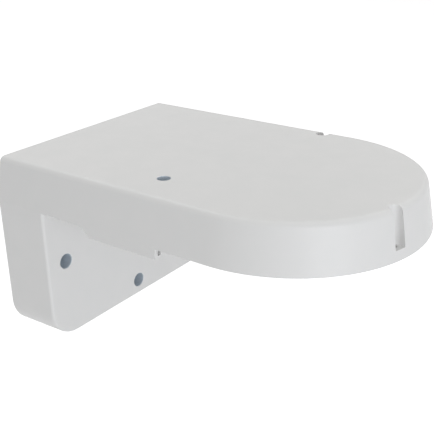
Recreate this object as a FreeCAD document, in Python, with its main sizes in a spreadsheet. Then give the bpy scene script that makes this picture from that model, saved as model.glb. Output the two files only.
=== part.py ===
"""Wall bracket for a dome camera: one die-cast aluminium shell.

The frame: X points out of the wall, Z up, and the wall is the plane X = 0.
The origin lies on the wall, midway between the two upper wall screws.
"""
import FreeCAD
import Part
import math
import os
import Sketcher

os.makedirs("parts", exist_ok=True)
doc = FreeCAD.newDocument("camera_wall_bracket")

# Driving sizes in millimetres and degrees
SIZES = {
    # Plate: a straight-sided arm that ends in a half round over the camera
    "camera_reach": 120.0,
    "rim_radius": 61.0,
    "skirt_height": 20.7,
    "skirt_draft_angle": 10.0,
    "top_round": 3.0,
    "top_thickness": 3.0,
    "wall_thickness": 3.0,
    # Leg: the box that stands on the wall below the arm
    "leg_height": 88.5,
    "leg_depth": 28.0,
    "leg_corner": 15.5,
    "leg_draft_angle": 1.2,
    "leg_edge_round": 1.8,
    # Wall screws: two above, one below on the centre line
    "wall_screw_drop": 49.0,
    "wall_screw_spread": 98.0,
    "lower_screw_drop": 80.0,
    "wall_head_bore": 7.2,
    "wall_screw_hole": 4.8,
    "wall_screw_seat": 4.0,
    "wall_pillar": 13.0,
    # Camera screws: three on one circle round the camera's axis
    "camera_screw_circle": 109.0,
    "camera_screw_angle": 225.0,
    "camera_head_bore": 5.8,
    "camera_screw_hole": 4.4,
    "camera_screw_seat": 4.5,
    "camera_pillar": 12.0,
    "bore_edge_break": 0.4,
    # Lips below the rim, beside the cable space
    "lip_start": 52.6,
    "lip_ramp": 4.8,
    "lip_end": 94.2,
    "lip_drop": 4.4,
    "lip_thickness": 4.6,
    "lip_corner_round": 1.2,
    "lip_slot_inset": 2.8,
    "lip_slot_width": 1.8,
    "lip_slot_height": 3.6,
    "lip_slot_depth": 6.0,
    # Cable window and stiffening ribs inside
    "window_width": 34.0,
    "window_height": 11.0,
    "window_drop": 5.0,
    "window_corner": 3.0,
    "rib_gap": 38.0,
    "rib_thickness": 2.2,
    "rib_height": 8.0,
    "rib_length": 46.0,
    # Room that a cutting shape takes beyond the metal
    "run_out": 8.0,
}

sheet = doc.addObject("Spreadsheet::Sheet", "Sizes")
for row, (size_name, size_value) in enumerate(SIZES.items(), start=1):
    sheet.set("A%d" % row, size_name)
    sheet.set("B%d" % row, "%g" % size_value)
    sheet.setAlias("B%d" % row, size_name)
doc.recompute()


# Formulas that several shapes share
TOP = "Sizes.wall_screw_drop"
RIM = "Sizes.wall_screw_drop - Sizes.skirt_height"
LEG_FOOT = "Sizes.wall_screw_drop - Sizes.leg_height"
CEILING = "Sizes.wall_screw_drop - Sizes.top_thickness"
INNER_RADIUS = "Sizes.rim_radius - Sizes.wall_thickness"
INNER_FOOT = "Sizes.wall_screw_drop - Sizes.leg_height + Sizes.wall_thickness"
SKIRT_IN = "(Sizes.skirt_height - Sizes.top_thickness) * tan(Sizes.skirt_draft_angle * 1 deg)"


def number(formula):
    """The present value of a formula over the sheet."""
    return float(sheet.evalExpression(formula))


def origin_plane(body, role):
    """One of a body's own origin planes."""
    return next(item for item in body.Origin.OriginFeatures if item.Role == role)


def new_sketch(body, name, role, height="0", across="0", turn="0"):
    """A sketch on an origin plane, lifted, moved across and turned by formulas."""
    sketch = body.newObject("Sketcher::SketchObject", name)
    sketch.AttachmentSupport = [(origin_plane(body, role), "")]
    sketch.MapMode = "FlatFace"
    place = FreeCAD.Vector(number(across), 0, number(height))
    rotation = FreeCAD.Rotation(FreeCAD.Vector(0, 0, 1), number(turn))
    sketch.AttachmentOffset = FreeCAD.Placement(place, rotation)
    sketch.setExpression("AttachmentOffset.Base.x", across)
    sketch.setExpression("AttachmentOffset.Base.z", height)
    sketch.setExpression("AttachmentOffset.Rotation.Angle", turn)
    return sketch


def hold(sketch, kind, edge, corner, formula):
    """Fix one coordinate of a sketch point to a formula."""
    index = sketch.addConstraint(Sketcher.Constraint(kind, -1, 1, edge, corner, number(formula)))
    sketch.setExpression("Constraints[%d]" % index, formula)


def outline(sketch, corners):
    """A closed outline of lines and arcs through corners given as formulas.

    A corner is (across, up) for a straight run to the next one, or
    (across, up, centre across, centre up) for an arc that turns
    anticlockwise round the centre.
    """
    points = [FreeCAD.Vector(number(c[0]), number(c[1]), 0) for c in corners]
    count = len(corners)
    for index, corner in enumerate(corners):
        start = points[index]
        end = points[(index + 1) % count]
        if len(corner) == 2:
            sketch.addGeometry(Part.LineSegment(start, end))
            continue
        centre = FreeCAD.Vector(number(corner[2]), number(corner[3]), 0)
        first = math.atan2(start.y - centre.y, start.x - centre.x)
        last = math.atan2(end.y - centre.y, end.x - centre.x)
        if last <= first:
            last = last + 2 * math.pi
        circle = Part.Circle(centre, FreeCAD.Vector(0, 0, 1), start.distanceToPoint(centre))
        sketch.addGeometry(Part.ArcOfCircle(circle, first, last))
    for index, corner in enumerate(corners):
        following = (index + 1) % count
        sketch.addConstraint(Sketcher.Constraint("Coincident", index, 2, following, 1))
        hold(sketch, "DistanceX", index, 1, corner[0])
        hold(sketch, "DistanceY", index, 1, corner[1])
        if len(corner) == 4:
            hold(sketch, "DistanceX", index, 3, corner[2])
    return sketch


def circles(sketch, centres, diameter):
    """Equal circles at centres given as formulas."""
    for across, up in centres:
        place = FreeCAD.Vector(number(across), number(up), 0)
        circle = Part.Circle(place, FreeCAD.Vector(0, 0, 1), number(diameter) / 2)
        index = sketch.addGeometry(circle)
        hold(sketch, "DistanceX", index, 3, across)
        hold(sketch, "DistanceY", index, 3, up)
        size = sketch.addConstraint(Sketcher.Constraint("Diameter", index, number(diameter)))
        sketch.setExpression("Constraints[%d]" % size, diameter)
    return sketch


def extrude(body, kind, name, sketch, length, reverse=False, taper=None):
    """A pad or a pocket of a sketch, with a check that it changed the solid."""
    before = body.Shape.Volume if body.Tip else 0.0
    feature = body.newObject("PartDesign::" + kind, name)
    feature.Profile = sketch
    feature.Length = number(length)
    feature.setExpression("Length", length)
    feature.Reversed = reverse
    if taper:
        feature.TaperAngle = number(taper)
        feature.setExpression("TaperAngle", taper)
    doc.recompute()
    change = feature.Shape.Volume - before
    if (kind == "Pad") != (change > 0) or abs(change) < 0.1:
        raise RuntimeError("%s changed the volume by %.3f" % (name, change))
    return feature


def edges_where(feature, test):
    """Names of the feature's edges that pass a test."""
    shape = feature.Shape
    return ["Edge%d" % (index + 1) for index, edge in enumerate(shape.Edges) if test(edge)]


def dress(body, kind, name, feature, edge_names, formula):
    """A fillet or a chamfer of one size on named edges."""
    piece = body.newObject("PartDesign::" + kind, name)
    piece.Base = (feature, edge_names)
    field = "Radius" if kind == "Fillet" else "Size"
    setattr(piece, field, number(formula))
    piece.setExpression(field, formula)
    doc.recompute()
    return piece


def new_body(name):
    """An empty body in the part's own frame."""
    body = doc.addObject("PartDesign::Body", name)
    body.Label = name
    body.Placement = FreeCAD.Placement()
    return body


def combine(body, kind, name, tool):
    """Add another body's solid to this one, or cut it away."""
    before = body.Shape.Volume
    boolean = body.newObject("PartDesign::Boolean", name)
    boolean.Type = kind
    boolean.setObjects([tool])
    doc.recompute()
    change = boolean.Shape.Volume - before
    if (kind == "Fuse") != (change > 0) or abs(change) < 1.0:
        raise RuntimeError("%s changed the volume by %.3f" % (name, change))
    return boolean


def half_round(radius, back):
    """Outline of the plate seen from above, from the back line to the half round."""
    return [
        (back, "-(%s)" % radius),
        ("Sizes.camera_reach", "-(%s)" % radius, "Sizes.camera_reach", "0"),
        ("Sizes.camera_reach", radius),
        (back, radius),
    ]


def leg_outline(half_width, foot, corner, shoulder_width, shoulder, neck_width, head):
    """Outline of the leg seen from the front, with its two round lower corners."""
    corner_up = "%s + %s" % (foot, corner)
    corner_in = "%s - (%s)" % (half_width, corner)
    return [
        ("-(%s)" % neck_width, head),
        ("-(%s)" % shoulder_width, shoulder),
        ("-(%s)" % half_width, corner_up, "-(%s)" % corner_in, corner_up),
        ("-(%s)" % corner_in, foot),
        (corner_in, foot, corner_in, corner_up),
        (half_width, corner_up),
        (shoulder_width, shoulder),
        (neck_width, head),
    ]


# Wall screws: across and up on the wall plane, with the upper pair at the height of the origin
WALL_SCREWS = [
    ("-Sizes.wall_screw_spread / 2", "0"),
    ("Sizes.wall_screw_spread / 2", "0"),
    ("0", "Sizes.wall_screw_drop - Sizes.lower_screw_drop"),
]
# Turns of the three camera screws round the camera's axis
CAMERA_SCREW_TURNS = ["Sizes.camera_screw_angle + %d" % step for step in (0, 120, 240)]
CIRCLE_RADIUS = "Sizes.camera_screw_circle / 2"


def plate_form(body):
    """The closed plate: straight arm and half round, sloping skirt, rounded top edge."""
    rim = new_sketch(body, "rim_outline", "XY_Plane", RIM)
    outline(rim, half_round("Sizes.rim_radius", "0"))
    plate = extrude(body, "Pad", "plate", rim, "Sizes.skirt_height")

    sides = []
    for index, face in enumerate(plate.Shape.Faces):
        normal = face.normalAt(0.5, 0.5)
        if abs(normal.z) < 0.01 and normal.x > -0.9:
            sides.append("Face%d" % (index + 1))
    foot = next(
        "Face%d" % (index + 1)
        for index, face in enumerate(plate.Shape.Faces)
        if face.normalAt(0.5, 0.5).z < -0.9
    )
    skirt = body.newObject("PartDesign::Draft", "skirt_slope")
    skirt.Base = (plate, sides)
    skirt.NeutralPlane = (plate, [foot])
    skirt.Angle = number("Sizes.skirt_draft_angle")
    skirt.setExpression("Angle", "Sizes.skirt_draft_angle")
    doc.recompute()
    if skirt.Shape.Volume > plate.Shape.Volume:
        skirt.Reversed = True
        doc.recompute()

    top_level = number(TOP)
    top_edges = edges_where(skirt, lambda edge: all(
        abs(vertex.Z - top_level) < 0.01 for vertex in edge.Vertexes
    ) and edge.BoundBox.XMax > 0.01)
    dress(body, "Fillet", "top_round", skirt, top_edges, "Sizes.top_round")


def leg_form():
    """The closed leg: a box that narrows towards its front, with two round lower corners."""
    body = new_body("leg_form")
    leg = new_sketch(body, "leg_outline", "YZ_Plane")
    # Inside the plate the leg narrows faster than the skirt does
    neck = "Sizes.rim_radius - Sizes.skirt_height / 2 * tan(Sizes.skirt_draft_angle * 2 deg)"
    outline(leg, leg_outline(
        "Sizes.rim_radius", LEG_FOOT, "Sizes.leg_corner", "Sizes.rim_radius", RIM,
        neck, "Sizes.wall_screw_drop - Sizes.skirt_height / 2",
    ))
    box = extrude(body, "Pad", "leg", leg, "Sizes.leg_depth", taper="-Sizes.leg_draft_angle")

    front = number("Sizes.leg_depth")
    front_edges = edges_where(box, lambda edge: all(
        abs(vertex.X - front) < 0.01 for vertex in edge.Vertexes
    ))
    dress(body, "Fillet", "leg_edges", box, front_edges, "Sizes.leg_edge_round")
    return body


def wall_core():
    """The hollow that opens at the wall, with the three screw pillars left standing."""
    body = new_body("wall_core")
    inside = new_sketch(body, "wall_hollow_outline", "YZ_Plane", "-Sizes.run_out")
    outline(inside, leg_outline(
        INNER_RADIUS, INNER_FOOT, "Sizes.leg_corner - Sizes.wall_thickness", INNER_RADIUS, RIM,
        "%s - %s" % (INNER_RADIUS, SKIRT_IN), CEILING,
    ))
    depth = "Sizes.run_out + Sizes.leg_depth - Sizes.wall_thickness"
    extrude(body, "Pad", "wall_hollow", inside, depth)
    pillars = new_sketch(body, "wall_pillar_circles", "YZ_Plane", "-Sizes.run_out")
    circles(pillars, WALL_SCREWS, "Sizes.wall_pillar")
    extrude(body, "Pocket", "wall_pillars", pillars, depth, reverse=True)
    return body


def camera_core():
    """The hollow that opens over the camera, with pillars and ribs left standing."""
    body = new_body("camera_core")
    inside = new_sketch(body, "camera_hollow_outline", "XY_Plane", RIM)
    outline(inside, half_round(INNER_RADIUS, "Sizes.leg_depth"))
    depth = "Sizes.skirt_height - Sizes.top_thickness"
    extrude(body, "Pad", "camera_hollow", inside, depth, taper="-Sizes.skirt_draft_angle")
    for turn_index, turn in enumerate(CAMERA_SCREW_TURNS):
        place = new_sketch(
            body, "camera_pillar_circle_%d" % turn_index, "XY_Plane", RIM,
            "Sizes.camera_reach", turn,
        )
        circles(place, [(CIRCLE_RADIUS, "0")], "Sizes.camera_pillar")
        extrude(body, "Pocket", "camera_pillar_%d" % turn_index, place, depth, reverse=True)
    half_gap = "Sizes.rib_gap / 2"
    outer = "Sizes.rib_gap / 2 + Sizes.rib_thickness"
    far = "Sizes.leg_depth + Sizes.rib_length"
    near = "Sizes.leg_depth - Sizes.run_out"
    for side, (low, high) in enumerate([("-(%s)" % outer, "-(%s)" % half_gap), (half_gap, outer)]):
        rib = new_sketch(body, "rib_outline_%d" % side, "XY_Plane", CEILING)
        outline(rib, [(near, low), (far, low), (far, high), (near, high)])
        extrude(body, "Pocket", "rib_%d" % side, rib, "Sizes.rib_height")
    return body


def cable_window(body):
    """The round-cornered window that lets the cable from the leg into the arm."""
    window = new_sketch(body, "window_outline", "YZ_Plane", "Sizes.leg_depth / 2")
    half = "Sizes.window_width / 2"
    half_in = "Sizes.window_width / 2 - Sizes.window_corner"
    high = "Sizes.wall_screw_drop - Sizes.window_drop"
    low = "Sizes.wall_screw_drop - Sizes.window_drop - Sizes.window_height"
    high_in = high + " - Sizes.window_corner"
    low_in = low + " + Sizes.window_corner"
    outline(window, [
        ("-(%s)" % half_in, low),
        (half_in, low, half_in, low_in),
        (half, low_in),
        (half, high_in, half_in, high_in),
        (half_in, high),
        ("-(%s)" % half_in, high, "-(%s)" % half_in, high_in),
        ("-(%s)" % half, high_in),
        ("-(%s)" % half, low_in, "-(%s)" % half_in, low_in),
    ])
    extrude(body, "Pocket", "cable_window", window, "Sizes.leg_depth", reverse=True)


def wall_screw_holes(body):
    """Deep bores for the screw heads from the front, and the screw holes in their seats."""
    front = new_sketch(body, "wall_head_circles", "YZ_Plane", "Sizes.leg_depth")
    circles(front, WALL_SCREWS, "Sizes.wall_head_bore")
    extrude(body, "Pocket", "wall_head_bores", front, "Sizes.leg_depth - Sizes.wall_screw_seat")
    seat = new_sketch(body, "wall_screw_circles", "YZ_Plane", "Sizes.leg_depth")
    circles(seat, WALL_SCREWS, "Sizes.wall_screw_hole")
    extrude(body, "Pocket", "wall_screw_holes", seat, "Sizes.leg_depth")


def camera_screw_holes(body):
    """Three screw bores from above, two of which open sideways through the skirt."""
    depth = "Sizes.skirt_height - Sizes.camera_screw_seat"
    half = "Sizes.camera_head_bore / 2"
    outside = "Sizes.rim_radius + Sizes.run_out"
    for index, turn in enumerate(CAMERA_SCREW_TURNS):
        bore = new_sketch(body, "head_bore_%d" % index, "XY_Plane", TOP, "Sizes.camera_reach", turn)
        if index == 0:
            circles(bore, [(CIRCLE_RADIUS, "0")], "Sizes.camera_head_bore")
        else:
            outline(bore, [
                (CIRCLE_RADIUS, "-(%s)" % half),
                (outside, "-(%s)" % half),
                (outside, half),
                (CIRCLE_RADIUS, half, CIRCLE_RADIUS, "0"),
            ])
        extrude(body, "Pocket", "head_bore_cut_%d" % index, bore, depth)
        hole = new_sketch(body, "screw_hole_%d" % index, "XY_Plane", TOP, "Sizes.camera_reach", turn)
        circles(hole, [(CIRCLE_RADIUS, "0")], "Sizes.camera_screw_hole")
        extrude(body, "Pocket", "screw_hole_cut_%d" % index, hole, "Sizes.skirt_height")


def lips(body):
    """The two lips that hang below the rim beside the cable space, each slotted at its front."""
    foot = RIM + " - Sizes.lip_drop"
    for side, sign in (("near", "-"), ("far", "")):
        plane_height = "%s(Sizes.rim_radius)" % ("" if sign == "-" else "-")
        profile = new_sketch(body, "lip_profile_" + side, "XZ_Plane", plane_height)
        outline(profile, [
            ("Sizes.lip_start", RIM),
            ("Sizes.lip_start + Sizes.lip_ramp", foot),
            ("Sizes.lip_end", foot),
            ("Sizes.lip_end", RIM),
        ])
        lip = extrude(body, "Pad", "lip_" + side, profile, "Sizes.lip_thickness", reverse=sign == "-")
        ramp_foot = number("Sizes.lip_start + Sizes.lip_ramp")
        low = number(foot)
        corner = edges_where(lip, lambda edge: all(
            abs(vertex.X - ramp_foot) < 0.01 and abs(vertex.Z - low) < 0.01 for vertex in edge.Vertexes
        ) and (edge.CenterOfMass.y < 0) == (sign == "-"))
        dress(body, "Fillet", "lip_corner_" + side, lip, corner, "Sizes.lip_corner_round")
        slot = new_sketch(body, "lip_slot_outline_" + side, "YZ_Plane", "Sizes.lip_end")
        middle = "%s(Sizes.rim_radius - Sizes.lip_slot_inset)" % sign
        low_side = "%s - Sizes.lip_slot_width / 2" % middle
        high_side = "%s + Sizes.lip_slot_width / 2" % middle
        slot_foot = RIM + " - Sizes.lip_slot_height"
        outline(slot, [
            (low_side, slot_foot), (high_side, slot_foot), (high_side, RIM), (low_side, RIM),
        ])
        extrude(body, "Pocket", "lip_slot_" + side, slot, "Sizes.lip_slot_depth")


def bore_edge(body):
    """A small break on the edge of the bore that opens in the flat top."""
    top_level = number(TOP)
    radius = number("Sizes.camera_head_bore / 2")
    round_edges = edges_where(body.Tip, lambda edge: (
        isinstance(edge.Curve, Part.Circle)
        and abs(edge.Curve.Radius - radius) < 0.01
        and abs(edge.CenterOfMass.z - top_level) < 0.01
        and edge.isClosed()
    ))
    dress(body, "Chamfer", "bore_edge_break", body.Tip, round_edges, "Sizes.bore_edge_break")


bracket = new_body("bracket_body")
plate_form(bracket)
combine(bracket, "Fuse", "leg_join", leg_form())
combine(bracket, "Cut", "wall_hollow_cut", wall_core())
combine(bracket, "Cut", "camera_hollow_cut", camera_core())
cable_window(bracket)
wall_screw_holes(bracket)
camera_screw_holes(bracket)
lips(bracket)
bore_edge(bracket)
doc.recompute()

# Every object has to be sound before anything is written
for item in doc.Objects:
    if "Invalid" in item.State or "Error" in item.State:
        raise RuntimeError("%s failed: %s" % (item.Label, item.State))

for piece in (bracket,):
    shape = piece.Shape
    if shape.isNull() or not shape.isValid() or len(shape.Solids) != 1:
        raise RuntimeError("%s is not one sound solid" % piece.Label)
    shape.exportStep(os.path.join("parts", piece.Label + ".step"))
    box = shape.optimalBoundingBox(False)
    print("%s: volume %.1f cm3, box %.1f x %.1f x %.1f mm" % (
        piece.Label, shape.Volume / 1000, box.XLength, box.YLength, box.ZLength,
    ))
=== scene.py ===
"""Looks of a dome camera's wall bracket: one powder-coated casting in plain studio light.

Lengths are in millimetres until a mesh is made, and the frame is the CAD model's own:
+X out of the wall, +Z up, and the wall is the plane X = 0.
"""

import logging
import math
from dataclasses import dataclass
from enum import Enum

import bpy
import numpy as np
from mathutils import Matrix, Vector


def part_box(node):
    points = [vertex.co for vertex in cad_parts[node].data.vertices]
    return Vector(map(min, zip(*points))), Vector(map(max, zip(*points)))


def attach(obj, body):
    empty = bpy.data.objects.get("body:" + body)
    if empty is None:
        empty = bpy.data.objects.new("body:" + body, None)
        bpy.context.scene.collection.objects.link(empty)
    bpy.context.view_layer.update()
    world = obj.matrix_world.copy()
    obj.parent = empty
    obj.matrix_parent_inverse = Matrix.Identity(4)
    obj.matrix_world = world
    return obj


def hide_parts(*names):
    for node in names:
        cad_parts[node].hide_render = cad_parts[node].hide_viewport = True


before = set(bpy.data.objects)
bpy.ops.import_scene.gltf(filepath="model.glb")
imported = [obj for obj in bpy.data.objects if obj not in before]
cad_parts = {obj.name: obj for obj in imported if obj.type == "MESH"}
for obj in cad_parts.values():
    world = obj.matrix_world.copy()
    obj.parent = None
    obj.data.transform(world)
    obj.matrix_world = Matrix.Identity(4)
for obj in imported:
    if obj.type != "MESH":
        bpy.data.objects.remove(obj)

LOG = logging.getLogger("bracket")
MM = 0.001
NODE = "bracket_body"
BORE_STEPS = 64
PILLAR_STEPS = 48
SLIVER = 0.01
WHITE = (1.0, 1.0, 1.0, 1.0)
# sockets of the mix node when it mixes colours
MIX_FACTOR = 0
MIX_FIRST = 6
MIX_SECOND = 7
MIX_RESULT = 2


class Side(Enum):
    """The two straight sides of the arm, as the sign of Y."""

    NEAR = -1
    FAR = 1


class Opening(Enum):
    """How the head bore of a camera screw meets the skirt."""

    CLOSED = "round bore inside the arm, drilled after coating"
    GAP = "round bore with a narrower gap through the straight side"
    SLOT = "open to the outside over its whole width"


class Plane(Enum):
    """Which axes an outline's across, up and level coordinates lie along."""

    PLAN = (0, 1, 2)
    FRONT = (1, 2, 0)
    PROFILE = (0, 2, 1)


def linear(code: str) -> tuple[float, float, float, float]:
    """Linear colour of an sRGB hex code.

    A channel v from 0 to 1 gives v / 12.92 up to 0.04045 and ((v + 0.055) / 1.055) ** 2.4 above it.

    Args:
        code: Six hex digits, such as e4e5e5.

    Returns:
        Red, green, blue and an alpha of 1.
    """
    value = np.array([int(code[k:k + 2], 16) for k in (0, 2, 4)]) / 255.0
    low, high = value / 12.92, ((value + 0.055) / 1.055) ** 2.4
    red, green, blue = np.where(value <= 0.04045, low, high)
    return float(red), float(green), float(blue), 1.0


def add_node(tree: bpy.types.NodeTree, kind: str, settings: dict[str, object],
             inputs: dict[str | int, object]) -> bpy.types.Node:
    """Adds one shader node.

    Args:
        tree: The material's node tree.
        kind: Node type, such as ShaderNodeBump.
        settings: Attributes to set on the node.
        inputs: Input values by name or index; a node socket makes a link.

    Returns:
        The new node.
    """
    node = tree.nodes.new(kind)
    for name, value in settings.items():
        setattr(node, name, value)
    for name, value in inputs.items():
        if isinstance(value, bpy.types.NodeSocket):
            tree.links.new(value, node.inputs[name])
        else:
            node.inputs[name].default_value = value
    return node


@dataclass(frozen=True)
class PowderCoat:
    """Off-white polyester powder coat, sprayed and baked on a die casting.

    It gives the eye a satin skin with a fine orange peel, a little glossier on some patches than on others.
    """

    colour: str = "e3e2e1"
    thin_colour: str = "e0e0df"
    roughness: tuple[float, float] = (0.38, 0.46)
    peel_mm: float = 1.1
    peel_depth_mm: float = 0.006
    grain_mm: float = 0.25
    grain_depth_mm: float = 0.0015
    patch_mm: float = 9.0
    patch_range: tuple[float, float] = (0.3, 0.7)
    refraction: float = 1.5

    def material(self) -> bpy.types.Material:
        """The coat as a node material on object coordinates, made once.

        Returns:
            The material.
        """
        known = bpy.data.materials.get("baked_powder_coat")
        if known:
            return known
        made = bpy.data.materials.new("baked_powder_coat")
        made.use_nodes = True
        tree = made.node_tree
        shader = tree.nodes["Principled BSDF"]
        shader.inputs["IOR"].default_value = self.refraction
        place = add_node(tree, "ShaderNodeTexCoord", {}, {}).outputs["Object"]
        peel = add_node(tree, "ShaderNodeTexNoise", {}, {
            "Vector": place, "Scale": 1.0 / (self.peel_mm * MM), "Detail": 2.0,
        })
        wavy = add_node(tree, "ShaderNodeBump", {}, {
            "Height": peel.outputs["Fac"], "Distance": self.peel_depth_mm * MM, "Strength": 1.0,
        })
        grain = add_node(tree, "ShaderNodeTexNoise", {}, {
            "Vector": place, "Scale": 1.0 / (self.grain_mm * MM), "Detail": 1.0,
        })
        skin = add_node(tree, "ShaderNodeBump", {}, {
            "Height": grain.outputs["Fac"], "Distance": self.grain_depth_mm * MM, "Strength": 1.0,
            "Normal": wavy.outputs["Normal"],
        })
        patches = add_node(tree, "ShaderNodeTexNoise", {}, {
            "Vector": place, "Scale": 1.0 / (self.patch_mm * MM), "Detail": 2.0,
        })
        gloss = add_node(tree, "ShaderNodeMapRange", {}, {
            "Value": patches.outputs["Fac"],
            "From Min": self.patch_range[0], "From Max": self.patch_range[1],
            "To Min": self.roughness[0], "To Max": self.roughness[1],
        })
        tone = add_node(tree, "ShaderNodeMix", {"data_type": "RGBA"}, {
            MIX_FACTOR: patches.outputs["Fac"],
            MIX_FIRST: linear(self.colour), MIX_SECOND: linear(self.thin_colour),
        })
        tree.links.new(tone.outputs[MIX_RESULT], shader.inputs["Base Color"])
        tree.links.new(gloss.outputs["Result"], shader.inputs["Roughness"])
        tree.links.new(skin.outputs["Normal"], shader.inputs["Normal"])
        return made


@dataclass(frozen=True)
class DrilledAluminium:
    """Die-cast aluminium drilled after coating, dull with oxide and a dusting of the coat.

    It gives the eye a blue-grey bore, much darker than the coat round it, with faint drill marks.
    """

    colour: str = "c2ccd5"
    dusted: str = "d6dee5"
    metallic: float = 0.25
    roughness: float = 0.5
    mark_mm: float = 0.5
    mark_depth_mm: float = 0.02

    def material(self) -> bpy.types.Material:
        """The bare metal as a node material on object coordinates, made once.

        Returns:
            The material.
        """
        known = bpy.data.materials.get("drilled_die_cast_aluminium")
        if known:
            return known
        made = bpy.data.materials.new("drilled_die_cast_aluminium")
        made.use_nodes = True
        tree = made.node_tree
        shader = tree.nodes["Principled BSDF"]
        place = add_node(tree, "ShaderNodeTexCoord", {}, {}).outputs["Object"]
        marks = add_node(tree, "ShaderNodeTexNoise", {}, {
            "Vector": place, "Scale": 1.0 / (self.mark_mm * MM), "Detail": 3.0,
        })
        tone = add_node(tree, "ShaderNodeMix", {"data_type": "RGBA"}, {
            MIX_FACTOR: marks.outputs["Fac"],
            MIX_FIRST: linear(self.colour), MIX_SECOND: linear(self.dusted),
        })
        rough = add_node(tree, "ShaderNodeBump", {}, {
            "Height": marks.outputs["Fac"], "Distance": self.mark_depth_mm * MM, "Strength": 1.0,
        })
        shader.inputs["Metallic"].default_value = self.metallic
        shader.inputs["Roughness"].default_value = self.roughness
        tree.links.new(tone.outputs[MIX_RESULT], shader.inputs["Base Color"])
        tree.links.new(rough.outputs["Normal"], shader.inputs["Normal"])
        return made


COAT = PowderCoat()
BARE = DrilledAluminium()


def corner_profile(bends: list[tuple[float, float, float]], steps: int = 8) -> np.ndarray:
    """A polyline of offset against level whose corners are rounded.

    At each inner corner the sharp point is replaced by the arc that touches both runs:
    its ends lie radius / tan(half angle) along them, and its points are the arc's centre
    plus the radius turned evenly from one tangent point to the other.

    Args:
        bends: (offset, level, radius) of each corner, radius 0 for a sharp one.
        steps: Straight pieces in each arc.

    Returns:
        Points as an array of (offset, level) rows.
    """
    points = [np.array(bends[0][:2], float)[None]]
    for before, here, after in zip(bends, bends[1:], bends[2:]):
        corner = np.array(here[:2], float)
        if here[2] <= 0.0:
            points.append(corner[None])
            continue
        run_in = np.array(before[:2], float) - corner
        run_out = np.array(after[:2], float) - corner
        run_in /= np.linalg.norm(run_in)
        run_out /= np.linalg.norm(run_out)
        half = math.acos(float(np.clip(run_in @ run_out, -1.0, 1.0))) / 2
        middle = (run_in + run_out) / np.linalg.norm(run_in + run_out)
        centre = corner + middle * here[2] / math.sin(half)
        start = corner + run_in * here[2] / math.tan(half) - centre
        sweep = math.pi - 2 * half
        turn = math.copysign(sweep, run_out[0] * run_in[1] - run_out[1] * run_in[0])
        angle = np.linspace(0.0, turn, steps + 1)
        points.append(centre + np.stack([
            start[0] * np.cos(angle) - start[1] * np.sin(angle),
            start[0] * np.sin(angle) + start[1] * np.cos(angle),
        ], axis=1))
    points.append(np.array(bends[-1][:2], float)[None])
    return np.concatenate(points)


def flare(size: float, out: float, reach: float = 0.6, sweep: float = 72.0, steps: int = 5) -> np.ndarray:
    """The mouth of a cutting shape that leaves a rounded edge behind.

    The offset grows by size * (1 - cos a) while the depth shrinks to size * (1 - sin a), for a from
    0 to the sweep, and a last straight run carries the shape clear of the surface.

    Args:
        size: Radius of the rounded edge.
        out: Sign of the offset, 1 where the shape widens and -1 where it narrows.
        reach: How far the shape runs past the surface.
        sweep: Angle of the round in degrees, a little under a quarter turn.
        steps: Straight pieces in the round.

    Returns:
        (offset, depth) rows from the deepest point outwards; depth is negative outside.
    """
    angle = np.linspace(0.0, math.radians(sweep), steps + 1)
    offset = size * (1.0 - np.cos(angle))
    depth = size * (1.0 - np.sin(angle))
    last = angle[-1]
    offset = np.append(offset, offset[-1] + (depth[-1] + reach) * math.tan(last))
    depth = np.append(depth, -reach)
    return np.stack([offset * out, depth], axis=1)


def ring_outline(centre: tuple[float, float], radii: np.ndarray, around: int) -> np.ndarray:
    """Circles of given radii: centre + radius * (cos a, sin a), a running once round.

    Args:
        centre: Across and up coordinates of the centre.
        radii: One radius for each level.
        around: Points in each circle.

    Returns:
        Array (levels, around, 2).
    """
    angle = np.linspace(0.0, 2 * math.pi, around, endpoint=False)
    circle = np.stack([np.cos(angle), np.sin(angle)], axis=1)
    return np.asarray(centre, float) + np.asarray(radii, float)[:, None, None] * circle


def bare_strips(depth: np.ndarray, coated: float, length: float) -> np.ndarray:
    """Which strips of a bore are bare: those whose middle lies between the coated mouth and exit.

    Args:
        depth: Depth of each level from the mouth.
        coated: How far the coat reaches in.
        length: Depth of the exit.

    Returns:
        One flag for each strip.
    """
    middle = (depth[:-1] + depth[1:]) / 2
    return (middle > coated) & (middle < length - coated)


def plate_outline(back: float, reach: float, half_widths: np.ndarray, around: int) -> np.ndarray:
    """Straight sides from the back line to a half round, for each half width.

    The half round's points are (reach + w cos a, w sin a), a from -90 to 90 degrees, and the two
    back corners are (back, -w) and (back, w).

    Args:
        back: Across coordinate of the back line.
        reach: Across coordinate of the half round's centre.
        half_widths: One half width w for each level.
        around: Straight pieces in the half round.

    Returns:
        Array (levels, around + 3, 2).
    """
    width = np.asarray(half_widths, float)[:, None]
    angle = np.linspace(-math.pi / 2, math.pi / 2, around + 1)[None, :]
    across = np.concatenate([np.full_like(width, back), reach + width * np.cos(angle),
                             np.full_like(width, back)], axis=1)
    up = np.concatenate([-width, width * np.sin(angle), width], axis=1)
    return np.stack([across, up], axis=2)


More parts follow.
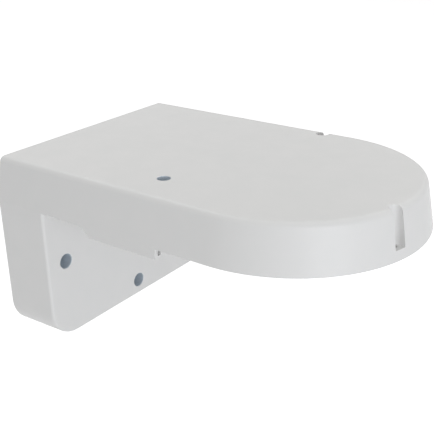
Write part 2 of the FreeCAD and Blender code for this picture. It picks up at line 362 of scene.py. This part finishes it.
def round_box_outline(centre: tuple[float, float], half: tuple[float, float], corner: float,
                      grow: np.ndarray, around: int = 8) -> np.ndarray:
    """Rectangles with round corners, grown outwards by an offset for each level.

    Each corner's points are its centre plus (corner + grow) * (cos a, sin a), with a radius of at
    least two slivers, so that no corner closes to a point.

    Args:
        centre: Across and up coordinates of the centre.
        half: Half sizes at no growth.
        corner: Corner radius at no growth.
        grow: Outward offset for each level.
        around: Straight pieces in each corner.

    Returns:
        Array (levels, 4 * (around + 1), 2).
    """
    turn = np.linspace(0.0, math.pi / 2, around + 1)
    angle = (turn[None, :] + np.arange(4)[:, None] * math.pi / 2).ravel()
    signs = np.repeat(np.array([[1, 1], [-1, 1], [-1, -1], [1, -1]], float), around + 1, axis=0)
    pivots = np.asarray(centre, float) + signs * (np.asarray(half, float) - corner)
    circle = np.stack([np.cos(angle), np.sin(angle)], axis=1)
    radius = np.maximum(corner + np.asarray(grow, float), 2 * SLIVER)
    return pivots[None] + radius[:, None, None] * circle[None]


def leg_outline(half: float, foot: float, corner: float, top_half: float, top: float,
                shoulder: float, inset: np.ndarray, around: int) -> np.ndarray:
    """The leg from the front: two round lower corners, straight sides, and a neck into the plate.

    The lower corners' points are their centres plus (corner - inset) * (cos a, sin a); the sides
    stand at half - inset up to the shoulder, and the neck leans in to top_half - inset at the top.

    Args:
        half: Half width at no inset.
        foot: Height of the foot at no inset.
        corner: Radius of the lower corners at no inset.
        top_half: Half width of the neck at its top.
        top: Height of the neck's top.
        shoulder: Height at which the sides begin to lean in.
        inset: Inward offset for each level.
        around: Straight pieces in each lower corner.

    Returns:
        Array (levels, 2 * (around + 1) + 4, 2), anticlockwise.
    """
    inset = np.asarray(inset, float)[:, None]
    radius = corner - inset
    turn = np.linspace(0.0, math.pi / 2, around + 1)[None, :]
    left = np.stack([
        -(half - corner) - radius * np.cos(turn), foot + corner - radius * np.sin(turn),
    ], axis=2)
    right = left[:, ::-1] * np.array([-1.0, 1.0])
    sides = [(half, shoulder), (top_half, top)]
    right_side = np.concatenate([
        np.stack([width - inset, np.full_like(inset, height)], axis=2) for width, height in sides
    ], axis=1)
    left_side = right_side[:, ::-1] * np.array([-1.0, 1.0])
    return np.concatenate([left, right, right_side, left_side], axis=1)


def closed_form(name: str, outlines: np.ndarray, levels: np.ndarray, plane: Plane,
                bare: np.ndarray | None = None) -> bpy.types.Object:
    """A closed skin through a stack of outlines, with a flat face over each end.

    Point (i, j) is the outline point j at level i; neighbours in i and j make the quads, and the
    faces are turned outwards by the sign of the enclosed volume.

    Args:
        name: Name of the object.
        outlines: Array (levels, around, 2) in millimetres.
        levels: Level of each outline in millimetres.
        plane: Axes of the outline's coordinates.
        bare: For each strip between two levels, whether it is bare metal instead of coated.

    Returns:
        The new mesh object, in metres.
    """
    count, around, _ = outlines.shape
    points = np.zeros((count, around, 3))
    across, up, level = plane.value
    points[:, :, across] = outlines[:, :, 0]
    points[:, :, up] = outlines[:, :, 1]
    points[:, :, level] = np.asarray(levels, float)[:, None]
    index = np.arange(count * around).reshape(count, around)
    following = np.roll(index, -1, axis=1)
    quads = np.stack([index[:-1], following[:-1], following[1:], index[1:]], axis=2).reshape(-1, 4)
    first = index[0][::-1]
    last = index[-1]
    flat = points.reshape(-1, 3) * MM
    a, b, c, d = (flat[quads[:, k]] for k in range(4))
    volume = sum(np.einsum("ij,ij->i", a, np.cross(*pair)).sum() for pair in ((b, c), (c, d)))
    for cap in (first, last):
        fan = flat[cap]
        volume += np.einsum("j,ij->i", fan[0], np.cross(fan[1:-1], fan[2:])).sum()
    if volume < 0:
        quads, first, last = quads[:, ::-1], first[::-1], last[::-1]
    mesh = bpy.data.meshes.new(name)
    mesh.from_pydata(flat.tolist(), [], [*quads.tolist(), first.tolist(), last.tolist()])
    for finish in (COAT, BARE):
        mesh.materials.append(finish.material())
    strips = np.zeros(count - 1, int) if bare is None else np.asarray(bare, int)
    faces = np.append(np.repeat(strips, around), [strips[0], strips[-1]])
    mesh.polygons.foreach_set("material_index", faces)
    mesh.validate()
    made = bpy.data.objects.new(name, mesh)
    bpy.context.scene.collection.objects.link(made)
    return made


def combine(base: bpy.types.Object, tools: list[bpy.types.Object], operation: str) -> None:
    """Join shapes to a base or cut them away, and leave the base with the result as its mesh.

    Args:
        base: The object that changes.
        tools: The other shapes, which are used up.
        operation: UNION or DIFFERENCE.
    """
    group = bpy.data.collections.new("tools")
    bpy.context.scene.collection.children.link(group)
    for tool in tools:
        bpy.context.scene.collection.objects.unlink(tool)
        group.objects.link(tool)
    boolean = base.modifiers.new(operation.lower(), "BOOLEAN")
    boolean.operation = operation
    boolean.solver = "EXACT"
    boolean.material_mode = "TRANSFER"
    boolean.operand_type = "COLLECTION"
    boolean.collection = group
    bpy.context.view_layer.update()
    result = base.evaluated_get(bpy.context.evaluated_depsgraph_get())
    whole = bpy.data.meshes.new_from_object(result)
    base.modifiers.clear()
    base.data = whole
    for tool in tools:
        bpy.data.objects.remove(tool)
    bpy.data.collections.remove(group)


@dataclass(frozen=True)
class CameraScrew:
    """One camera screw: its turn in degrees about the camera's axis, its circle's radius and its bore."""

    turn: float
    circle: float
    opening: Opening


@dataclass(frozen=True)
class Groove:
    """The cut from an open camera screw bore out through the skirt.

    Its plan is a strip with a round inner end, from the start out along the turn. Its back wall leans
    outwards by the draft, and the edge is the radius of its rounded mouth. The turn and the draft are
    in degrees.
    """

    start: tuple[float, float]
    turn: float
    half_width: float
    edge: float
    draft: float
    run: float = 20.0
    end_steps: int = 12

    def outlines(self, profile: np.ndarray) -> np.ndarray:
        """The groove's plan at each level of a profile.

        A level's outline is the round box grown by its offset, moved out by depth * tan(draft) and
        turned about the start.

        Args:
            profile: (offset, depth) rows.

        Returns:
            Array (levels, points, 2).
        """
        half = (self.run / 2 + self.half_width, self.half_width)
        strip = round_box_outline((self.run / 2, 0.0), half, half[1] - SLIVER, profile[:, 0],
                                  around=self.end_steps)
        lean = np.maximum(profile[:, 1], 0.0) * math.tan(math.radians(self.draft))
        strip[:, :, 0] += lean[:, None]
        angle = math.radians(self.turn)
        spin = np.array([[math.cos(angle), math.sin(angle)], [-math.sin(angle), math.cos(angle)]])
        return strip @ spin + np.array(self.start)


@dataclass
class Casting:
    """The bracket's one cast piece, from the CAD model's box and a few sizes of its own.

    Sizes that end in _run are how far a profile runs on along a flat face beside its round. Sizes that
    end in _lead are how far in its straight side begins. Sizes that end in _overlap are how far one
    shape reaches into the next, and cut_past is how far a cutting shape runs past the metal.
    """

    reach: float
    rim_radius: float
    top: float
    foot: float
    skirt_height: float = 20.7
    skirt_draft: float = 10.0
    top_round: float = 3.0
    top_steps: int = 12
    rim_round: float = 0.3
    rim_run: float = 2.0
    plate_thickness: float = 3.0
    wall: float = 3.0
    leg_depth: float = 28.0
    leg_corner: float = 15.5
    leg_draft: float = 1.2
    leg_edge: float = 1.5
    leg_run: float = 4.0
    neck_height: float = 1.5
    neck_inset: float = 0.03
    edge: float = 0.4
    coat_reach: float = 0.12
    inner_round: float = 1.5
    inner_run: float = 4.0
    wall_lead: float = 1.0
    camera_lead: float = 0.6
    wall_screws: tuple[tuple[float, float], ...] = ((-49.0, 0.0), (49.0, 0.0), (0.0, -31.0))
    wall_head_radius: float = 3.6
    wall_hole_radius: float = 2.4
    wall_seat: float = 4.0
    wall_pillar_radius: float = 6.5
    camera_screws: tuple[CameraScrew, ...] = (
        CameraScrew(224.2, 54.3, Opening.CLOSED), CameraScrew(345.7, 56.6, Opening.SLOT),
        CameraScrew(105.0, 55.7, Opening.GAP),
    )
    camera_head_radius: float = 2.9
    camera_hole_radius: float = 2.2
    camera_seat: float = 4.5
    camera_pillar_radius: float = 6.0
    pillar_foot_round: float = 1.0
    pillar_run: float = 3.0
    pillar_lead: float = 1.0
    gap_width: float = 3.8
    gap_offset: float = 0.8
    gap_turn: float = 90.0
    slot_draft: float = 5.0
    slot_edge: float = 0.6
    open_hole_radius: float = 1.6
    open_hole_overlap: float = 0.5
    window: tuple[float, float] = (34.0, 11.0)
    window_drop: float = 5.0
    window_corner: float = 3.0
    rib_gap: float = 38.0
    rib_thickness: float = 2.2
    rib_height: float = 8.0
    rib_length: float = 46.0
    rib_edge: float = 0.7
    rib_edge_run: float = 1.0
    rib_foot_round: float = 0.6
    rib_run: float = 2.0
    rib_overlap: float = 4.0
    lip_start: float = 52.6
    lip_ramp: float = 4.8
    lip_end: float = 94.2
    lip_drop: float = 4.4
    lip_thickness: float = 4.6
    lip_round: float = 1.2
    lip_end_round: float = 0.4
    lip_inset: float = 0.05
    lip_overlap: float = 0.3
    lip_slot: tuple[float, float, float] = (1.8, 3.6, 6.0)
    lip_slot_inset: float = 2.8
    lip_slot_corner: float = 0.3
    cut_past: float = 1.0
    sharp_degrees: float = 35.0
    shading_weight: int = 50
    around: int = 96

    @classmethod
    def from_frame(cls, node: str) -> "Casting":
        """Takes the outer sizes from the CAD node's box.

        Args:
            node: Name of the CAD node.

        Returns:
            The casting with its driving sizes set.
        """
        low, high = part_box(node)
        rim_radius = high.y / MM
        return cls(reach=high.x / MM - rim_radius, rim_radius=rim_radius, top=high.z / MM, foot=low.z / MM)

    @property
    def rim(self) -> float:
        """Height of the skirt's lower edge."""
        return self.top - self.skirt_height

    @property
    def slope(self) -> float:
        """How far the skirt leans in for each millimetre of height."""
        return math.tan(math.radians(self.skirt_draft))

    def camera_point(self, screw: CameraScrew) -> tuple[float, float]:
        """Plan place of a camera screw."""
        angle = math.radians(screw.turn)
        return self.reach + screw.circle * math.cos(angle), screw.circle * math.sin(angle)

    def plate(self) -> bpy.types.Object:
        """The closed plate: rounded rim edge, sloping skirt and rounded top edge.

        Returns:
            The plate.
        """
        top_half = self.rim_radius - self.skirt_height * self.slope
        profile = corner_profile([
            (self.rim_radius - self.rim_run, self.rim, 0.0),
            (self.rim_radius, self.rim, self.rim_round),
            (top_half, self.top, self.top_round),
            (top_half - 2 * self.top_round, self.top, 0.0),
        ], self.top_steps)[1:-1]
        outlines = plate_outline(0.0, self.reach, profile[:, 0], self.around)
        return closed_form("plate", outlines, profile[:, 1], Plane.PLAN)

    def leg(self) -> bpy.types.Object:
        """The closed leg: drafted towards its front, with a rounded front edge.

        Returns:
            The leg, with a neck that reaches up into the plate.
        """
        front_inset = self.leg_depth * math.tan(math.radians(self.leg_draft))
        profile = corner_profile([
            (0.0, 0.0, 0.0),
            (front_inset, self.leg_depth, self.leg_edge),
            (front_inset + self.leg_run, self.leg_depth, 0.0),
        ])[:-1]
        outlines = leg_outline(
            self.rim_radius, self.foot, self.leg_corner,
            self.rim_radius - self.neck_height * self.slope - self.neck_inset,
            self.rim + self.neck_height, self.rim, profile[:, 0], self.around // 4,
        )
        return closed_form("leg", outlines, profile[:, 1], Plane.FRONT)

    def lip(self, side: Side) -> bpy.types.Object:
        """The lip under one straight side: outline in profile, carried across its thickness.

        Args:
            side: The straight side it stands under.

        Returns:
            The lip.
        """
        foot = self.rim - self.lip_drop
        start, ramp, end = self.lip_start, self.lip_start + self.lip_ramp, self.lip_end
        outline = corner_profile([
            (start, self.rim, 0.0), (ramp, foot, self.lip_round),
            (end, foot, self.lip_end_round), (end, self.rim, 0.0),
        ])
        head = self.rim + self.lip_overlap
        outline = np.concatenate([outline, [[end, head], [start, head]]])
        outer = self.rim_radius - self.lip_inset
        levels = np.array([outer - self.lip_thickness, outer])
        outlines = np.repeat(outline[None], 2, axis=0)
        return closed_form("lip", outlines, levels * side.value, Plane.PROFILE)

    def pillar(self, place: tuple[float, float], radius: float, height: float, base: float,
               plane: Plane) -> bpy.types.Object:
        """A screw pillar: rounded tip, straight side, and a rounded root past its height.

        Args:
            place: Across and up coordinates of its axis.
            radius: Its radius.
            height: Height from its tip to the ceiling it stands on.
            base: Level of its tip.
            plane: Axes of the coordinates.

        Returns:
            The closed pillar.
        """
        tip = flare(self.edge, -1.0)[::-1]
        root = corner_profile([
            (0.0, self.pillar_lead, 0.0), (0.0, height, self.pillar_foot_round),
            (self.pillar_run, height, 0.0),
        ])[1:]
        profile = np.concatenate([tip, root, [[self.pillar_run, height + self.cut_past]]])
        outlines = ring_outline(place, radius + profile[:, 0], PILLAR_STEPS)
        return closed_form("pillar", outlines, base + profile[:, 1], plane)

    def wall_hollow(self) -> bpy.types.Object:
        """The hollow open at the wall, less the screw pillars that stand in it.

        Returns:
            The cutting shape.
        """
        mouth = flare(self.edge, -1.0)[::-1]
        depth = self.leg_depth - self.wall
        inner = corner_profile([
            (0.0, self.wall_lead, 0.0), (0.0, depth, self.inner_round), (self.inner_run, depth, 0.0),
        ])[1:-1]
        profile = np.concatenate([mouth, inner])
        ceiling = self.top - self.plate_thickness
        outlines = leg_outline(
            self.rim_radius - self.wall, self.foot + self.wall, self.leg_corner - self.wall,
            self.rim_radius - self.wall - (ceiling - self.rim) * self.slope, ceiling, self.rim,
            profile[:, 0], self.around // 4,
        )
        hollow = closed_form("wall_hollow", outlines, profile[:, 1], Plane.FRONT)
        combine(hollow, [
            self.pillar(place, self.wall_pillar_radius, depth, 0.0, Plane.FRONT)
            for place in self.wall_screws
        ], "DIFFERENCE")
        return hollow

    def camera_hollow(self) -> bpy.types.Object:
        """The hollow over the camera, less its screw pillars and the two ribs.

        Returns:
            The cutting shape.
        """
        ceiling = self.top - self.plate_thickness
        height = ceiling - self.rim
        mouth = flare(self.edge, 1.0)[::-1]
        inner = corner_profile([
            (0.0, self.camera_lead, 0.0), (-height * self.slope, height, self.inner_round),
            (-height * self.slope - self.inner_run, height, 0.0),
        ])[1:-1]
        profile = np.concatenate([mouth, inner])
        outlines = plate_outline(self.leg_depth, self.reach, self.rim_radius - self.wall + profile[:, 0],
                                 self.around)
        hollow = closed_form("camera_hollow", outlines, self.rim + profile[:, 1], Plane.PLAN)
        kept = [
            self.pillar(self.camera_point(screw), self.camera_pillar_radius, height, self.rim, Plane.PLAN)
            for screw in self.camera_screws
        ]
        combine(hollow, [*kept, *self.ribs(ceiling)], "DIFFERENCE")
        return hollow

    def ribs(self, ceiling: float) -> list[bpy.types.Object]:
        """The two ribs along the ceiling, rounded at their free edge and at their foot.

        Args:
            ceiling: Height of the ceiling that they hang from.

        Returns:
            The two closed ribs, which run back into the leg.
        """
        profile = corner_profile([
            (-self.rib_edge_run, self.rib_height, 0.0), (0.0, self.rib_height, self.rib_edge),
            (0.0, 0.0, self.rib_foot_round), (self.rib_run, 0.0, 0.0),
        ])
        profile = np.concatenate([profile, [[self.rib_run, -self.cut_past]]])
        half = (self.rib_length / 2 + self.rib_overlap, self.rib_thickness / 2)
        made = []
        for side in Side:
            centre = (self.leg_depth + self.rib_length - half[0],
                      side.value * (self.rib_gap / 2 + half[1]))
            outlines = round_box_outline(centre, half, half[1] - SLIVER, profile[:, 0])
            made.append(closed_form("rib", outlines, ceiling - profile[:, 1], Plane.PLAN))
        return made

    def stepped_bore(self, head: float, hole: float, seat: float, length: float) -> np.ndarray:
        """Radius against depth of a screw bore: flared mouth, head bore, seat, hole, flared exit.

        Args:
            head: Radius of the bore for the screw's head.
            hole: Radius of the hole through the seat.
            seat: Thickness of metal under the head.
            length: Depth from mouth to exit.

        Returns:
            (radius, depth from the mouth) rows.
        """
        mouth = flare(self.edge, 1.0)[::-1]
        exit_ = flare(self.edge / 2, 1.0)
        return np.concatenate([
            mouth + [head, 0.0],
            [[head, length - seat], [hole, length - seat]],
            np.stack([exit_[:, 0] + hole, length - exit_[:, 1]], axis=1),
        ])

    def bores(self) -> list[bpy.types.Object]:
        """Cutting shapes of the three wall screw bores and of the closed camera screw bore.

        Returns:
            The shapes, bare metal but for a narrow coated ring at each mouth and exit.
        """
        deep = self.stepped_bore(self.wall_head_radius, self.wall_hole_radius, self.wall_seat,
                                 self.leg_depth)
        bare = bare_strips(deep[:, 1], self.coat_reach, self.leg_depth)
        made = [
            closed_form("wall_bore", ring_outline(place, deep[:, 0], BORE_STEPS),
                        self.leg_depth - deep[:, 1], Plane.FRONT, bare)
            for place in self.wall_screws
        ]
        short = self.stepped_bore(self.camera_head_radius, self.camera_hole_radius, self.camera_seat,
                                  self.skirt_height)
        bare = bare_strips(short[:, 1], self.coat_reach, self.skirt_height)
        made.extend(
            closed_form("camera_bore", ring_outline(self.camera_point(screw), short[:, 0], BORE_STEPS),
                        self.top - short[:, 1], Plane.PLAN, bare)
            for screw in self.camera_screws if screw.opening is Opening.CLOSED
        )
        return made

    def groove(self, screw: CameraScrew) -> Groove:
        """The cut that opens a camera screw's bore through the skirt.

        Args:
            screw: A screw whose bore is open.

        Returns:
            A slot as wide as the bore along the screw's own turn, or a narrower gap straight through
            the side.
        """
        place = self.camera_point(screw)
        if screw.opening is Opening.SLOT:
            return Groove(place, screw.turn, self.camera_head_radius, self.slot_edge, self.slot_draft)
        return Groove((place[0] + self.gap_offset, place[1]), self.gap_turn, self.gap_width / 2,
                      self.edge, 0.0)

    def open_bores(self) -> list[bpy.types.Object]:
        """Cutting shapes of the camera screw bores that open through the skirt, with their holes.

        Returns:
            The shapes, all coated.
        """
        made = []
        depth = self.skirt_height - self.camera_seat
        exit_ = flare(self.edge / 2, 1.0)
        drill = np.concatenate([
            [[self.open_hole_radius, depth - self.open_hole_overlap]],
            np.stack([exit_[:, 0] + self.open_hole_radius, self.skirt_height - exit_[:, 1]], axis=1),
        ])
        for screw in self.camera_screws:
            if screw.opening is Opening.CLOSED:
                continue
            place = self.camera_point(screw)
            groove = self.groove(screw)
            profile = np.concatenate([flare(groove.edge, 1.0)[::-1], [[0.0, depth]]])
            level = self.top - profile[:, 1]
            if screw.opening is Opening.GAP:
                bore = ring_outline(place, self.camera_head_radius + profile[:, 0], BORE_STEPS)
                made.append(closed_form("open_bore", bore, level, Plane.PLAN))
            made.append(closed_form("slot", groove.outlines(profile), level, Plane.PLAN))
            hole = ring_outline(place, drill[:, 0], PILLAR_STEPS)
            made.append(closed_form("slot_hole", hole, self.top - drill[:, 1], Plane.PLAN))
        return made

    def window_cut(self) -> bpy.types.Object:
        """Cutting shape of the cable window between leg and arm.

        Returns:
            The shape, flared at both faces of the leg's front wall.
        """
        mouth = flare(self.edge, 1.0)
        back = np.stack([mouth[::-1, 0], self.leg_depth - self.wall + mouth[::-1, 1]], axis=1)
        front = np.stack([mouth[:, 0], self.leg_depth - mouth[:, 1]], axis=1)
        profile = np.concatenate([back, front])
        half = (self.window[0] / 2, self.window[1] / 2)
        centre = (0.0, self.top - self.window_drop - half[1])
        return closed_form("window", round_box_outline(centre, half, self.window_corner, profile[:, 0]),
                           profile[:, 1], Plane.FRONT)

    def lip_slots(self) -> list[bpy.types.Object]:
        """Cutting shapes of the slots in the lips' front ends.

        Returns:
            One shape for each lip.
        """
        width, height, depth = self.lip_slot
        made = []
        for side in Side:
            middle = side.value * (self.rim_radius - self.lip_slot_inset)
            centre = (middle, self.rim - height / 2)
            levels = np.array([self.lip_end - depth, self.lip_end + self.cut_past])
            outlines = round_box_outline(centre, (width / 2, height / 2), self.lip_slot_corner,
                                         np.zeros(2), around=4)
            made.append(closed_form("lip_slot", outlines, levels, Plane.FRONT))
        return made

    def build(self) -> bpy.types.Object:
        """Joins the outer forms and cuts the hollows and bores.

        Returns:
            The finished casting, not yet dressed.
        """
        body = self.plate()
        combine(body, [self.leg()], "UNION")
        combine(body, [self.lip(side) for side in Side], "UNION")
        combine(body, [self.wall_hollow()], "DIFFERENCE")
        combine(body, [self.camera_hollow()], "DIFFERENCE")
        combine(body, [self.window_cut(), *self.bores()], "DIFFERENCE")
        combine(body, self.open_bores(), "DIFFERENCE")
        combine(body, self.lip_slots(), "DIFFERENCE")
        body.name = "bracket_casting"
        body.data.name = "bracket_casting"
        return body

    def dress(self, body: bpy.types.Object) -> None:
        """Smooths the skin over the rounds and leaves the true edges sharp.

        The two finishes ride on the faces since each form was made.

        Args:
            body: The finished casting.
        """
        body.data.shade_smooth()
        body.data.set_sharp_from_angle(angle=math.radians(self.sharp_degrees))
        weighted = body.modifiers.new("even_shading", "WEIGHTED_NORMAL")
        weighted.mode = "FACE_AREA"
        weighted.weight = self.shading_weight
        weighted.keep_sharp = True


@dataclass(frozen=True)
class SoftBox:
    """A square soft lamp: place and side in metres, power in watts and colour as an sRGB hex code."""

    name: str
    place: tuple[float, float, float]
    side: float
    power: float
    colour: str = "ffffff"

    def build(self, target: Vector) -> None:
        """Makes the lamp.

        Args:
            target: The point that it is aimed at, in metres.
        """
        data = bpy.data.lights.new(self.name, "AREA")
        data.shape = "SQUARE"
        data.size = self.side
        data.energy = self.power
        data.color = linear(self.colour)[:3]
        made = bpy.data.objects.new(self.name, data)
        place = Vector(self.place)
        turn = (target - place).to_track_quat("-Z", "Y")
        made.matrix_world = Matrix.Translation(place) @ turn.to_matrix().to_4x4()
        bpy.context.scene.collection.objects.link(made)


@dataclass
class Studio:
    """Camera, floor and soft lights of the product photograph.

    The camera's place, its sensor and the floor are in millimetres. Its clip range, the lamps and the
    target that they are aimed at are in metres.
    """

    place: tuple[float, float, float] = (282.265, -272.814, 162.417)
    azimuth: float = 36.46
    elevation: float = 23.175
    roll: float = -1.045
    focal_pixels: float = 782.92
    frame_pixels: tuple[int, int] = (434, 435)
    axis_pixels: tuple[float, float] = (217.5, 218.0)
    sensor_width: float = 36.0
    clip: tuple[float, float] = (0.01, 20.0)
    floor_height: float = -330.0
    floor_half: float = 3000.0
    floor_colour: str = "e6e6e6"
    floor_glow: float = 0.65
    ambient: float = 0.45
    target: tuple[float, float, float] = (0.09, 0.0, 0.01)
    lamps: tuple[SoftBox, ...] = (
        SoftBox("overhead", (0.1, 0.0, 1.6), 1.4, 3.5, "fdfff7"),
        SoftBox("left_high", (-0.2, -1.2, 1.2), 1.0, 0.7),
        SoftBox("behind_above", (0.1, 1.2, 1.2), 1.0, 2.7),
        SoftBox("behind_left", (-0.9, 0.4, 1.3), 0.8, 3.4, "fafaff"),
        SoftBox("beside_camera", (1.1, -1.2, 0.6), 0.9, 2.5, "f6fbff"),
        SoftBox("front_strip", (1.25, -0.66, 0.15), 0.35, 4.7, "f9fbff"),
        SoftBox("low_front", (1.3, 0.1, -0.1), 0.8, 0.5, "e6f0ff"),
    )

    def camera(self) -> None:
        """The pinhole camera that was fitted to the photograph's edges."""
        data = bpy.data.cameras.new("photo_camera")
        data.sensor_width = self.sensor_width
        long_side = max(self.frame_pixels)
        data.lens = self.focal_pixels / long_side * data.sensor_width
        data.shift_x = (self.frame_pixels[0] / 2 - self.axis_pixels[0]) / long_side
        data.shift_y = (self.axis_pixels[1] - self.frame_pixels[1] / 2) / long_side
        data.clip_start, data.clip_end = self.clip
        made = bpy.data.objects.new("photo_camera", data)
        azimuth, elevation, roll = (math.radians(v) for v in (self.azimuth, self.elevation, self.roll))
        back = Vector((math.sin(azimuth) * math.cos(elevation), -math.cos(azimuth) * math.cos(elevation),
                       math.sin(elevation)))
        right = Vector((math.cos(azimuth), math.sin(azimuth), 0.0))
        up = back.cross(right)
        turned_right = right * math.cos(roll) + up * math.sin(roll)
        turned_up = up * math.cos(roll) - right * math.sin(roll)
        axes = Matrix((turned_right, turned_up, back)).transposed()
        made.matrix_world = Matrix.Translation(Vector(self.place) * MM) @ axes.to_4x4()
        bpy.context.scene.collection.objects.link(made)
        bpy.context.scene.camera = made

    @staticmethod
    def background_seen(tree: bpy.types.NodeTree) -> bpy.types.NodeSocket:
        """A factor of 1 for the rays that should find white, and 0 for those that light the bracket.

        Camera rays and mirrored or refracted ones find white; it is the greatest of their three flags.

        Args:
            tree: Node tree of the floor or the world.

        Returns:
            The socket that holds the factor.
        """
        rays = add_node(tree, "ShaderNodeLightPath", {}, {})
        mirrored = add_node(tree, "ShaderNodeMath", {"operation": "MAXIMUM"}, {
            0: rays.outputs["Is Glossy Ray"], 1: rays.outputs["Is Transmission Ray"],
        })
        both = add_node(tree, "ShaderNodeMath", {"operation": "MAXIMUM"}, {
            0: rays.outputs["Is Camera Ray"], 1: mirrored.outputs[0],
        })
        return both.outputs[0]

    def floor(self) -> None:
        """A pale floor well below the bracket, bright enough to be white to the camera."""
        mesh = bpy.data.meshes.new("floor")
        half = self.floor_half * MM
        level = self.floor_height * MM
        square = [(-half, -half, level), (half, -half, level), (half, half, level), (-half, half, level)]
        mesh.from_pydata(square, [], [(0, 1, 2, 3)])
        made = bpy.data.objects.new("floor", mesh)
        bpy.context.scene.collection.objects.link(made)
        material = bpy.data.materials.new("pale_floor")
        material.use_nodes = True
        tree = material.node_tree
        tree.nodes.clear()
        matt = add_node(tree, "ShaderNodeBsdfDiffuse", {}, {"Color": linear(self.floor_colour)})
        white = add_node(tree, "ShaderNodeEmission", {}, {"Color": WHITE, "Strength": self.floor_glow})
        both = add_node(tree, "ShaderNodeAddShader", {}, {})
        tree.links.new(matt.outputs[0], both.inputs[0])
        tree.links.new(white.outputs[0], both.inputs[1])
        seen = add_node(tree, "ShaderNodeMixShader", {}, {"Fac": self.background_seen(tree)})
        tree.links.new(matt.outputs[0], seen.inputs[1])
        tree.links.new(both.outputs[0], seen.inputs[2])
        out = add_node(tree, "ShaderNodeOutputMaterial", {}, {})
        tree.links.new(seen.outputs[0], out.inputs["Surface"])
        mesh.materials.append(material)

    def world(self) -> None:
        """Even grey surroundings that are white to the camera and in reflections."""
        world = bpy.data.worlds.new("studio")
        bpy.context.scene.world = world
        world.use_nodes = True
        tree = world.node_tree
        tree.nodes.clear()
        around = add_node(tree, "ShaderNodeBackground", {}, {"Color": WHITE, "Strength": self.ambient})
        white = add_node(tree, "ShaderNodeBackground", {}, {"Color": WHITE, "Strength": 1.0})
        seen = add_node(tree, "ShaderNodeMixShader", {}, {"Fac": self.background_seen(tree)})
        tree.links.new(around.outputs[0], seen.inputs[1])
        tree.links.new(white.outputs[0], seen.inputs[2])
        out = add_node(tree, "ShaderNodeOutputWorld", {}, {})
        tree.links.new(seen.outputs[0], out.inputs["Surface"])

    def build(self) -> None:
        """Sets up the whole studio."""
        bpy.context.scene.view_settings.view_transform = "Standard"
        self.camera()
        self.floor()
        self.world()
        for lamp in self.lamps:
            lamp.build(Vector(self.target))


def main() -> None:
    """Builds the casting and the studio."""
    logging.basicConfig(level=logging.INFO, format="%(message)s")
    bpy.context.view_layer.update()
    casting = Casting.from_frame(NODE)
    body = casting.build()
    casting.dress(body)
    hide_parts(NODE)
    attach(body, "root")
    LOG.info("%s: %d faces", body.name, len(body.data.polygons))
    studio = Studio()
    studio.build()
    LOG.info("studio: %d lamps", len(studio.lamps))


if __name__ == "__main__":
    main()
